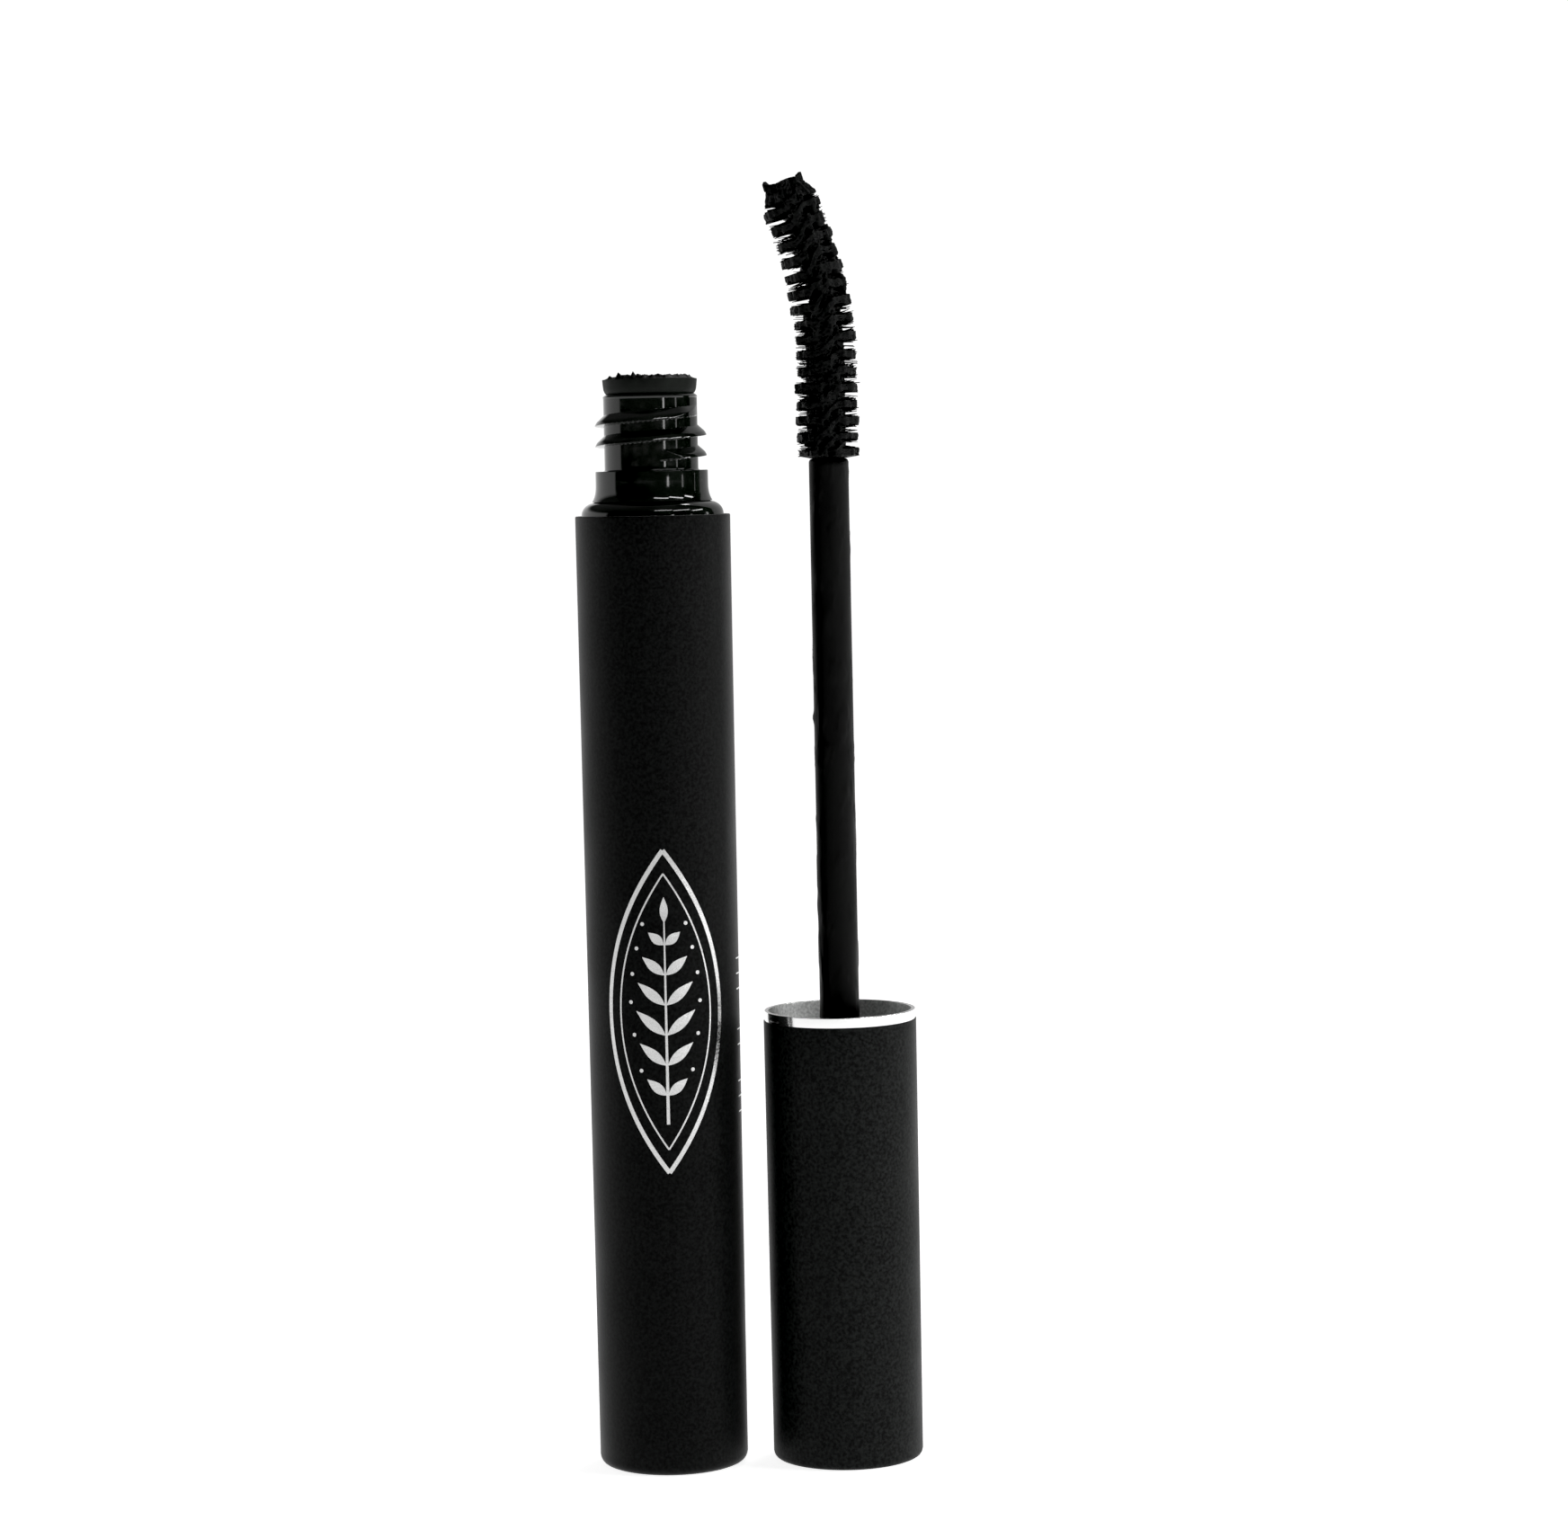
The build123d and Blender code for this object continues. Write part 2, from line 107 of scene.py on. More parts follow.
# Studio
BLACK_LEVEL = 0.004
FLOOR_REACH, FLOOR_DROP, FLOOR_GLOW = 6.0, 0.00005, 0.88
CAMERA_MM, CAMERA_DEG = (-10.21, -433.28, 103.73), (3.07, 4.078, 1.211)  # yaw, pitch, roll
LENS, SENSOR = 96.226, 36.0
LAMP_DISTANCE, LAMP_AIM, STRIP_AIM = 0.8, (0.009, 0, 0.09), (0.0, 0, 0.105)


# ---------------------------------------------------------------- meshes

def grid_faces(rows, cols, wrap_rows=False, offset=0):
    """Quads over rings of points. They face outwards if the outline climbs on the outside."""
    i = np.arange(rows if wrap_rows else rows - 1)
    j = np.arange(cols)
    i, j = np.meshgrid(i, j, indexing="ij")
    up, on = (i + 1) % rows, (j + 1) % cols
    quads = np.stack([i * cols + j, i * cols + on, up * cols + on, up * cols + j], -1)
    return (quads.reshape(-1, 4) + offset).tolist()


def rounded(points, steps=7):
    """Rounds each corner of an outline that has a third number, nearly to a circle's arc."""
    pull, cut = 0.83, 0.17
    out = []
    for i, p in enumerate(points):
        here = np.array(p[:2], float)
        if len(p) < 3:
            out.append(here)
            continue
        before = np.array(points[i - 1][:2], float)
        after = np.array(points[(i + 1) % len(points)][:2], float)
        a = here + (before - here) / np.linalg.norm(before - here) * p[2]
        b = here + (after - here) / np.linalg.norm(after - here) * p[2]
        for t in np.linspace(0, 1, steps):
            bow = 1.0 - t
            out.append(a * bow * bow + here * (2 * bow * t * pull) + b * t * t
                       + (a + b) / 2 * (2 * bow * t * cut))
    return np.array(out)


def angles(steps):
    return np.linspace(0, 2 * math.pi, steps, endpoint=False)


def turned(outline, centre_x=0.0, steps=192):
    """Rings of points round an upright axis, and their faces. An outline off the axis is closed."""
    outline = np.array(outline, float)
    turn = angles(steps)
    x = centre_x + outline[:, :1] * np.cos(turn)
    y = outline[:, :1] * np.sin(turn)
    z = np.repeat(outline[:, 1:2], steps, axis=1)
    closed = outline[0, 0] > 1e-6
    return np.stack([x, y, z], -1).reshape(-1, 3), grid_faces(len(outline), steps, closed)


def piece(name, points, faces, look, body, stands_for=(), crease=34, weld=True):
    """Makes a mesh piece from millimetre points. It rides on a CAD body."""
    mesh = bpy.data.meshes.new(name)
    mesh.from_pydata((np.asarray(points, float) * MM).tolist(), [], faces)
    if weld:
        bm = bmesh.new()
        bm.from_mesh(mesh)
        bmesh.ops.remove_doubles(bm, verts=bm.verts, dist=1e-7)
        bm.to_mesh(mesh)
        bm.free()
    mesh.validate()
    mesh.shade_smooth()
    mesh.set_sharp_from_angle(angle=math.radians(crease))
    mesh.materials.append(look)
    obj = bpy.data.objects.new(name, mesh)
    scene.collection.objects.link(obj)
    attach(obj, body)
    if stands_for:
        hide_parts(*stands_for)
    return obj


def second_look(obj, look, test):
    """Gives another look to the faces whose centre, in millimetres, passes a test."""
    obj.data.materials.append(look)
    for face in obj.data.polygons:
        if test(face.center / MM):
            face.material_index = 1


def lumps(points, size, octaves=3):
    """Smooth noise, about -1 to 1, at each millimetre point, with features of the given size."""
    return np.array([noise.fractal(Vector(p) / size, 0.9, 2.1, octaves) for p in points.tolist()])


def smooth(t):
    t = np.clip(t, 0, 1)
    return t * t * (3 - 2 * t)


# ---------------------------------------------------------------- materials

def new_look(name, colour, rough, metal=0.0, specular=None):
    look = bpy.data.materials.new(name)
    look.use_nodes = True
    shader = look.node_tree.nodes["Principled BSDF"]
    shader.inputs["Base Color"].default_value = (*colour, 1)
    shader.inputs["Roughness"].default_value = rough
    shader.inputs["Metallic"].default_value = metal
    if specular is not None:
        shader.inputs["Specular IOR Level"].default_value = specular
    return look, look.node_tree, shader


def grain(tree, size_mm, detail=3.0, stretch=(1, 1, 1)):
    """Noise over the object's own coordinates, with grains of about the given size."""
    place = tree.nodes.new("ShaderNodeTexCoord")
    scaling = tree.nodes.new("ShaderNodeMapping")
    scaling.inputs["Scale"].default_value = stretch
    tree.links.new(place.outputs["Object"], scaling.inputs["Vector"])
    tex = tree.nodes.new("ShaderNodeTexNoise")
    tex.inputs["Scale"].default_value = 1 / (size_mm * MM)
    tex.inputs["Detail"].default_value = detail
    tree.links.new(scaling.outputs["Vector"], tex.inputs["Vector"])
    return tex.outputs["Fac"]


def spread(tree, value, low, high, to_low, to_high):
    """Maps a value from one range to another."""
    node = tree.nodes.new("ShaderNodeMapRange")
    ends = ("From Min", low), ("From Max", high), ("To Min", to_low), ("To Max", to_high)
    for key, number in ends:
        node.inputs[key].default_value = number
    tree.links.new(value, node.inputs["Value"])
    return node.outputs["Result"]


def paint(tree, shader, value, low, high, dark, light):
    """Base colour from dark, where the value is low, to light, where it is high."""
    ramp = tree.nodes.new("ShaderNodeValToRGB")
    ramp.color_ramp.elements[0].position = low
    ramp.color_ramp.elements[1].position = high
    ramp.color_ramp.elements[0].color = (*dark, 1)
    ramp.color_ramp.elements[1].color = (*light, 1)
    tree.links.new(value, ramp.inputs["Fac"])
    tree.links.new(ramp.outputs["Color"], shader.inputs["Base Color"])


def roughen(tree, shader, value, low, high, least, most):
    """Roughness from least, where the value is low, to most, where it is high."""
    tree.links.new(spread(tree, value, low, high, least, most), shader.inputs["Roughness"])


def bump(tree, shader, heights):
    """Chains bumps. Each is (value, strength, height in millimetres)."""
    before = None
    for value, strength, height in heights:
        node = tree.nodes.new("ShaderNodeBump")
        node.inputs["Strength"].default_value = strength
        node.inputs["Distance"].default_value = height * MM
        tree.links.new(value, node.inputs["Height"])
        if before:
            tree.links.new(before, node.inputs["Normal"])
        before = node.outputs["Normal"]
    tree.links.new(before, shader.inputs["Normal"])


def shell_look(name, patch, dark, light, specular, velvet):
    """Soft-touch black: hardly shiny, with a velvety edge, a fine tooth and faint worn patches."""
    look, tree, shader = new_look(name, (0.006, 0.006, 0.006), 0.45, specular=specular)
    shader.inputs["Sheen Weight"].default_value = velvet
    shader.inputs["Sheen Roughness"].default_value = 0.4
    fine = grain(tree, 0.32, 4.0)
    broad = grain(tree, patch, 2.0)
    paint(tree, shader, fine, 0.36, 0.66, (dark, dark * 1.05, dark * 1.03),
          (light * 0.96, light * 1.05, light * 1.01))
    roughen(tree, shader, broad, 0.3, 0.7, 0.42, 0.52)
    bump(tree, shader, [(broad, 0.1, 0.3), (fine, 0.45, 0.025)])
    return look


def smoke_look():
    """Black smoky plastic, glossy, with faint flow marks. It looks opaque, as in the photograph."""
    look, tree, shader = new_look("smoke_plastic", (0.008, 0.009, 0.008), 0.05)
    shader.inputs["IOR"].default_value = 1.5
    marks = grain(tree, 2.5, 2.0, (1, 1, 0.35))
    paint(tree, shader, marks, 0.3, 0.75, (0.002, 0.003, 0.002), (0.008, 0.010, 0.008))
    roughen(tree, shader, grain(tree, 0.9, 3.0), 0.35, 0.75, 0.05, 0.13)
    bump(tree, shader, [(marks, 0.2, 0.05)])
    return look


def wiper_look():
    look, tree, shader = new_look("wiper_plastic", (0.01, 0.012, 0.01), 0.55, specular=0.12)
    tone = grain(tree, 1.1, 4.0)
    paint(tree, shader, tone, 0.3, 0.75, (0.0038, 0.0046, 0.0038), (0.0098, 0.0118, 0.0098))
    roughen(tree, shader, tone, 0.3, 0.7, 0.42, 0.65)
    bump(tree, shader, [(grain(tree, 0.12, 3.0), 0.3, 0.02), (tone, 0.2, 0.06)])
    return look


def mascara_look(name, least_rough, most_rough, specular, light):
    """Dried mascara: black, waxy in places and dusty in others, with a clotted surface."""
    look, tree, shader = new_look(name, (0.003, 0.003, 0.003), 0.4, specular=specular)
    clot = grain(tree, 0.45, 5.0)
    paint(tree, shader, clot, 0.35, 0.8, (light * 0.2, light * 0.2, light * 0.22),
          (light, light * 1.1, light))
    roughen(tree, shader, clot, 0.3, 0.7, least_rough, most_rough)
    bump(tree, shader, [(clot, 0.5, 0.08), (grain(tree, 0.14, 3.0), 0.4, 0.03)])
    return look


def silver_look(name, rough, stretch, dark, light):
    """Bright metal with fine grain. A stretch along z makes lines round the piece."""
    look, tree, shader = new_look(name, (light, light, light), rough, 1.0)
    lines = grain(tree, 0.25, 3.0, stretch)
    paint(tree, shader, lines, 0.3, 0.7, (dark, dark * 1.005, dark), (light, light, light * 0.995))
    roughen(tree, shader, lines, 0.3, 0.7, rough * 0.7, rough * 1.4)
    bump(tree, shader, [(lines, 0.08, 0.01)])
    return look


def worn_look():
    """Inside of the ring: dull grey metal with a mottled film of mascara."""
    look, tree, shader = new_look("ring_inside", (0.6, 0.6, 0.6), 0.5, 0.5)
    film = grain(tree, 0.3, 5.0)
    paint(tree, shader, film, 0.3, 0.7, (0.48, 0.49, 0.48), (0.92, 0.93, 0.92))
    roughen(tree, shader, film, 0.3, 0.7, 0.48, 0.62)
    bump(tree, shader, [(film, 0.3, 0.04)])
    return look


def stem_look():
    look, tree, shader = new_look("stem_plastic", (0.004, 0.004, 0.004), 0.4, specular=0.12)
    smear = grain(tree, 3.2, 5.0, (1, 1, 0.45))
    paint(tree, shader, smear, 0.4, 0.7, (0.0006, 0.0006, 0.0006), (0.0034, 0.0037, 0.0034))
    roughen(tree, shader, smear, 0.35, 0.7, 0.36, 0.62)
    bump(tree, shader, [(smear, 0.25, 0.08), (grain(tree, 0.2, 3.0), 0.2, 0.02)])
    return look


def steel_look():
    look, tree, shader = new_look("wire_steel", (0.42, 0.42, 0.43), 0.3, 1.0)
    wear = grain(tree, 0.3, 4.0)
    paint(tree, shader, wear, 0.35, 0.7, (0.05, 0.05, 0.05), (0.45, 0.45, 0.46))
    roughen(tree, shader, wear, 0.3, 0.7, 0.25, 0.55)
    bump(tree, shader, [(wear, 0.2, 0.03)])
    return look


def liner_look():
    look, tree, shader = new_look("liner_plastic", (0.02, 0.02, 0.021), 0.35)
    wear = grain(tree, 1.4, 4.0)
    paint(tree, shader, wear, 0.3, 0.75, (0.012, 0.012, 0.012), (0.032, 0.032, 0.033))
    roughen(tree, shader, wear, 0.3, 0.7, 0.28, 0.5)
    bump(tree, shader, [(wear, 0.12, 0.06)])
    return look


def foam_look():
    look, tree, shader = new_look("seal_foam", (0.5, 0.5, 0.48), 0.8)
    stain = grain(tree, 1.6, 4.0)
    paint(tree, shader, stain, 0.42, 0.62, (0.02, 0.02, 0.02), (0.42, 0.42, 0.40))
    roughen(tree, shader, stain, 0.3, 0.7, 0.5, 0.85)
    bump(tree, shader, [(grain(tree, 0.12, 3.0), 0.5, 0.04)])
    return look


# Both shells are one matte black. The cap's copy is painted lighter than the bottle's: painted
# light, for the stronger light that falls on the cap.
sleeve_black = shell_look("matte_black_bottle", 9.0, 0.0007, 0.0064, 0.08, 0.14)
cap_black_painted_lit = shell_look("matte_black_cap_painted_lit", 7.0, 0.0034, 0.0150, 0.08, 0.0)
smoke = smoke_look()
wiper_grey = wiper_look()
mascara = mascara_look("dried_mascara", 0.3, 0.55, 0.22, 0.0030)
brush_coat = mascara_look("brush_mascara", 0.34, 0.62, 0.10, 0.0065)
ring_silver = silver_look("silver_ring", 0.13, (1, 1, 12), 0.78, 0.92)
ring_inside = worn_look()
foil_silver = silver_look("silver_foil", 0.25, (1, 1, 1), 0.48, 0.72)
stem_black = stem_look()
steel = steel_look()
liner = liner_look()
foam = foam_look()


# ---------------------------------------------------------------- bottle

def sleeve_r(z):
    return SLEEVE_BASE_R + (SLEEVE_TOP_R - SLEEVE_BASE_R) * z / SLEEVE_H


def sleeve():
    """The shell, from the recess in its foot up the outside and down the inside to its floor."""
    lip = SLEEVE_TOP_R - SLEEVE_WALL
    wall = [(sleeve_r(z), z) for z in np.arange(4, 98, 4)]
    outline = rounded([
        (0, FOOT_RECESS), (5.6, FOOT_RECESS, 0.1), (5.8, 0.0, 0.1), (SLEEVE_BASE_R, 0.0, 1.0),
        *wall, (SLEEVE_TOP_R, SLEEVE_H, 0.13), (lip, SLEEVE_H, 0.08), (lip, 90),
        (sleeve_r(SLEEVE_FLOOR) - SLEEVE_WALL, SLEEVE_FLOOR), (0, SLEEVE_FLOOR),
    ])
    points, faces = turned(outline, steps=224)
    piece("bottle_shell", points, faces, sleeve_black, "bottle",
          ["bottle_sleeve"])


def thread_height(turn_deg, z):
    """How far the neck's thread stands out: flat below, sloped above, fading at both ends."""
    depth = THREAD_CREST_R - NECK_R
    bevel_up = np.linspace(0, 2, 201)
    bevel_drop = np.cumsum(np.interp(bevel_up, *THREAD_BEVEL)) * BEVEL_STEP
    out = np.zeros_like(z)
    first = (turn_deg - THREAD_START_DEG) % 360
    for k in range(3):
        along = first + 360 * k
        up = z - (THREAD_FOOT_Z + PITCH * along / 360)
        rise = smooth((up + THREAD_FLAT / 2 + 0.06) / 0.1)
        over = np.clip(up + THREAD_FLAT / 2, 0, None)
        fall = np.clip(depth - np.interp(over, bevel_up, bevel_drop), 0, depth)
        fade = (smooth(along / THREAD_FADE_IN_DEG)
                * smooth((THREAD_SWEEP_DEG - along) / THREAD_FADE_OUT_DEG))
        ridge = np.minimum(fall, depth * fade) * rise
        out = np.maximum(out, np.where((along <= THREAD_SWEEP_DEG) & (fade > 0), ridge, 0))
    return out


def inner_bottle():
    """The vial, shoulder, collar and threaded neck in one, with the bore through them."""
    steps = 288
    lower = rounded([
        (0, VIAL_FOOT), (NEAR_AXIS, VIAL_FOOT), (VIAL_R, VIAL_FOOT, 0.8), (VIAL_R, 91.0),
        (SHOULDER_R, 92.2), (SHOULDER_R, 95.0), (SHOULDER_R, SLEEVE_H),
    ])
    dome = [(SHOULDER_R - SHOULDER_ROUND + SHOULDER_ROUND * math.cos(a),
             SHOULDER_Z + SHOULDER_RISE * math.sin(a)) for a in np.linspace(0.05, 1.5, 10)]
    flare = [(COLLAR_R + FLARE_OUT * (1 - t) ** 3, FLARE_FOOT + (FLARE_TOP - FLARE_FOOT) * t)
             for t in np.linspace(0, 1, 9)[:-1]]
    collar = rounded([
        (COLLAR_R, FLARE_TOP), (COLLAR_R, COLLAR_Z, 0.07), (NECK_R, COLLAR_Z, 0.2), (NECK_R, 104.0),
    ])
    neck_z = np.arange(104.03, 110.95, NECK_STEP)
    neck = np.stack([np.full(len(neck_z), NECK_R), neck_z], -1)
    bead = [
        (NECK_R + 0.02, 110.98), (NECK_R + 0.04, 111.1), (NECK_R - 0.02, 111.2),
        (NECK_R - 0.3, NECK_TOP), (NECK_BORE_R + 0.05, NECK_TOP), (NECK_BORE_R, NECK_TOP - 0.05),
    ]
    bore = [
        (NECK_BORE_R, 104.0), (NECK_BORE_R, 98.6), (VIAL_BORE_R, 95.6), (VIAL_BORE_R, 50.0),
        (VIAL_BORE_R, 3.0), (VIAL_BORE_R - 0.6, VIAL_FLOOR), (NEAR_AXIS, VIAL_FLOOR),
        (0, VIAL_FLOOR),
    ]
    points, faces = turned(np.vstack([lower, dome, flare, collar, neck, bead, bore]), steps=steps)
    grid = points.reshape(-1, steps, 3)
    turn = np.degrees(angles(steps))
    on_neck = ((grid[:, 0, 2] > COLLAR_Z + 0.1) & (grid[:, 0, 2] < 111.05)
               & (grid[:, 0, 0] > NECK_R - 0.1))
    for row in np.nonzero(on_neck)[0]:
        extra = thread_height(turn, np.full(steps, grid[row, 0, 2]))
        radius = np.hypot(grid[row, :, 0], grid[row, :, 1])
        grid[row, :, 0] *= (radius + extra) / radius
        grid[row, :, 1] *= (radius + extra) / radius
    piece("inner_bottle_clear", grid.reshape(-1, 3), faces, smoke, "bottle",
          ["inner_bottle"], crease=28)


def wiper():
    """Wiper with the crust that dries on its rim: a low mound with a few sharp points."""
    top = WIPER_TOP
    outline = rounded([
        (ORIFICE_R, 99.6), (2.75, 99.6), (WIPER_PLUG_R, 103.4), (WIPER_PLUG_R, NECK_TOP),
        (4.56, NECK_TOP, 0.10), (4.76, NECK_TOP + 0.35, 0.2), (4.83, 112.3), (4.88, top, 0.04),
        (4.74, top + 0.01), (4.6, top + 0.05), (4.3, top + 0.12), (4.0, top + 0.18),
        (3.7, top + 0.15), (3.4, top + 0.05), (3.12, top - 0.2),
        (WIPER_BORE_R, 110.0), (WIPER_BORE_R, 107.0), (WIPER_BORE_R, 104.4), (ORIFICE_R, 101.2),
    ], 5)
    fine = [outline[0]]
    for last, point in zip(outline, outline[1:]):
        if min(last[1], point[1]) > top - 0.01:
            fine += [last * (1 - t) + point * t for t in (1 / 3, 2 / 3)]
        fine.append(point)
    points, faces = turned(fine, steps=240)
    radius = np.hypot(points[:, 0], points[:, 1])
    crust = (points[:, 2] > top - 0.05) & (radius > 3.05)
    reach = smooth((4.66 - radius) / 0.45) * crust
    across = points[:, 0] / np.maximum(radius, 0.1)
    low = 1 - 0.7 * np.maximum(smooth((-0.72 - across) / 0.2), smooth((across - 0.88) / 0.1))
    points[:, 2] += reach * low * (0.20 + 0.16 * lumps(points, 0.5))
    for deg, r, height in CRUST_POINTS:
        turn = math.radians(deg)
        near = np.hypot(points[:, 0] - r * math.cos(turn), points[:, 1] - r * math.sin(turn))
        points[:, 2] += crust * height * np.clip(1 - near / 0.34, 0, 1) ** 1.3
    rim = piece("wiper_rim", points, faces, wiper_grey, "bottle",
                ["neck_wiper"], crease=45)
    second_look(rim, mascara, lambda c: (c.z > top + 0.07 and math.hypot(c.x, c.y) < 4.78)
                or (c.z > 99.7 and math.hypot(c.x, c.y) < 3.9))


def films():
    """The mascara films that line the neck's bore and the vial."""
    for name, steps, outline in (
        ("neck_film", 160, [(3.86, 98.8), (3.87, 101.0), (3.865, 106.0), (3.86, 111.2),
                            (3.845, 111.2), (3.845, 98.8)]),
        ("vial_film", 96, [(5.74, 96.0), (5.76, 80.0), (5.76, 60.0), (5.76, 5.0), (5.72, 5.0),
                           (5.70, 60.0), (5.70, 96.0)]),
    ):
        points, faces = turned(outline, steps=steps)
        piece(name, points, faces, mascara, "bottle")


def on_sleeve(arc, z):
    """The foil's point at an arc length from the front's middle."""
    turn = math.radians(-90.0) + arc / SLEEVE_MEAN_R
    r = sleeve_r(z) + FOIL_LIFT
    return (r * math.cos(turn), r * math.sin(turn), z)


def ribbon(path, width):
    """A flat strip along a path of (arc, height): its points on the bottle, and its faces."""
    path = np.array(path, float)
    ahead = np.gradient(path, axis=0)
    ahead /= np.linalg.norm(ahead, axis=1)[:, None] + 1e-12
    side = np.stack([-ahead[:, 1], ahead[:, 0]], -1)
    widths = np.broadcast_to(np.asarray(width, float), (len(path),))[:, None]
    left, right = path + side * widths / 2, path - side * widths / 2
    points, faces = [], []
    for a, b in zip(left, right):
        points += [on_sleeve(*a), on_sleeve(*b)]
    for i in range(len(path) - 1):
        faces.append([2 * i, 2 * i + 1, 2 * i + 3, 2 * i + 2])
    return points, faces


def dot(arc, z, radius, sides=20):
    points = [on_sleeve(arc, z)]
    points += [on_sleeve(arc + radius * math.cos(t), z + radius * math.sin(t))
               for t in angles(sides)]
    return points, [[0, 1 + k, 1 + (k + 1) % sides] for k in range(sides)]


def leaf(arc, z, heading, length, width):
    """A pointed leaf that grows from (arc, z) in the direction given."""
    t = np.linspace(0, 1, 15)
    line = np.stack([arc + math.cos(heading) * length * t, z + math.sin(heading) * length * t], -1)
    return ribbon(line, width * np.sin(math.pi * np.clip(t, 0.01, 0.99)) ** 0.9 * (1.12 - 0.4 * t))


def foil_print():
    """A plain ornament in silver foil: a leafy sprig in two pointed ovals, and bars at the side."""
    parts = []
    for half_height, half_width, width in OVALS:
        for sign in (-1, 1):
            t = np.linspace(-1, 1, 61)
            line = np.stack([sign * half_width * (1 - t * t), FOIL_MIDDLE + half_height * t], -1)
            parts.append(ribbon(line, width))
    t = np.linspace(0, 1, 40)
    parts.append(ribbon(np.stack([0 * t, FOIL_MIDDLE - 11.6 + 21.0 * t], -1), 0.34 - 0.2 * t))
    for k, length in enumerate(LEAF_LENGTHS):
        foot = FOIL_MIDDLE - 8.6 + LEAF_SPACING * k
        for sign in (-1, 1):
            heading = math.radians(90 - sign * LEAF_LEAN_DEG)
            parts.append(leaf(0.1 * sign, foot, heading, length, 0.92 + 0.06 * length))
            parts.append(dot(sign * (0.75 * length + 0.75), foot + 0.66 * length + 0.85, 0.2))
    parts.append(leaf(0, FOIL_MIDDLE + 9.2, math.radians(90), 2.6, 0.9))
    for z, length in SIDE_BARS:
        line = np.stack([np.linspace(SIDE_BAR_ARC, SIDE_BAR_ARC + length, 12), np.full(12, z)], -1)
        parts.append(ribbon(line, SIDE_BAR_W))
    points, faces = [], []
    for p, f in parts:
        start = len(points)
        points += p
        faces += [[start + k for k in face] for face in f]
    piece("foil_ornament", points, faces, foil_silver, "bottle", weld=False)


sleeve()
inner_bottle()
wiper()
films()
foil_print()


# ---------------------------------------------------------------- cap

def cap_r(z):
    return CAP_END_R + (CAP_MOUTH_R - CAP_END_R) * z / CAP_H


def cap():
    wall = [(cap_r(z), z) for z in np.arange(4, 44, 4)]
    outline = rounded([
        (0, 0.2), (5.9, 0.2, 0.1), (6.1, 0, 0.1), (CAP_END_R, 0, 0.7), *wall,
        (CAP_MOUTH_R, CAP_H, 0.07), (CAP_MOUTH_R - 0.55, CAP_H, 0.05), (CAP_MOUTH_R - 0.6, 30),
        (CAP_END_R - 0.55, 1.0), (0, 1.0),
    ])
    points, faces = turned(outline, AXIS_X, 224)
    piece("cap_shell_outer", points, faces, cap_black_painted_lit, "applicator",
          ["cap_shell"])


def trim_ring():
    """Bright ring in the cap's mouth. Loops beside its edges keep their rounds small."""
    outline = rounded([
        (RING_WALL_R, CAP_H - 0.02), (7.85, CAP_H - 0.02), (7.862, CAP_H + 0.06),
        (RING_R, CAP_H + 0.5), (7.862, RIM_Z - 0.07), (7.86, RIM_Z, 0.035), (7.81, RIM_Z),
        (7.495, RIM_Z), (7.46, RIM_Z, 0.025), (7.45, RIM_Z - 0.1), (RING_WALL_R, CAP_H, 0.2),
        (RING_BORE_R, CAP_H - 0.8, 0.2), (RING_BORE_R, RING_FOOT), (RING_WALL_R, RING_FOOT),
    ])
    points, faces = turned(outline, AXIS_X, 256)
    ring = piece("ring_band", points, faces, ring_silver, "applicator",
                 ["trim_ring"], crease=50)
    second_look(ring, ring_inside,
                lambda c: math.hypot(c.x - AXIS_X, c.y) < 7.465 and c.z < RIM_Z - 0.03)


def seal_ring():
    """Foam ring round the stem, porous, with the dent that the wiper's rim has pressed in it."""
    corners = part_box("seal_washer")
    under, top = corners[0].z / MM, corners[1].z / MM
    outer, bore = (corners[1].x - corners[0].x) / MM / 2, STEM_R + WASHER_PLAY
    across = np.linspace(bore + 0.3, outer - 0.3, 34)
    up_wall = np.linspace(under + 0.2, top - 0.3, 6)
    down_wall = np.linspace(top - 0.3, under + 0.2, 6)
    face = [(r, top - WASHER_DENT * math.exp(-((r - WASHER_DENT_R) / WASHER_DENT_HALF) ** 4))
            for r in across[::-1]]
    outline = rounded([
        (bore, under, 0.1), *[(r, under) for r in across], (outer, under, 0.12),
        *[(outer, z) for z in up_wall], (outer, top, 0.22), *face, (bore, top, 0.15),
        *[(bore, z) for z in down_wall],
    ], 5)
    points, faces = turned(outline, AXIS_X, 256)
    local = points - [AXIS_X, 0, (under + top) / 2]
    side = np.hypot(local[:, 0], local[:, 1])
    pores = smooth((lumps(local, PORE_SIZE, 2) + 0.1) / 0.6)
    middle = (outer + bore) / 2
    shrunk = middle + (side - middle) * (1 - PORE_SIDE_SHARE * pores)
    points[:, 0] = AXIS_X + local[:, 0] * shrunk / side
    points[:, 1] = local[:, 1] * shrunk / side
    points[:, 2] -= local[:, 2] * PORE_TOP_SHARE * pores
    piece("seal_ring", points, faces, foam, "washer", ["seal_washer"], crease=60)


cap()
trim_ring()
seal_ring()


# ---------------------------------------------------------------- stem and brush

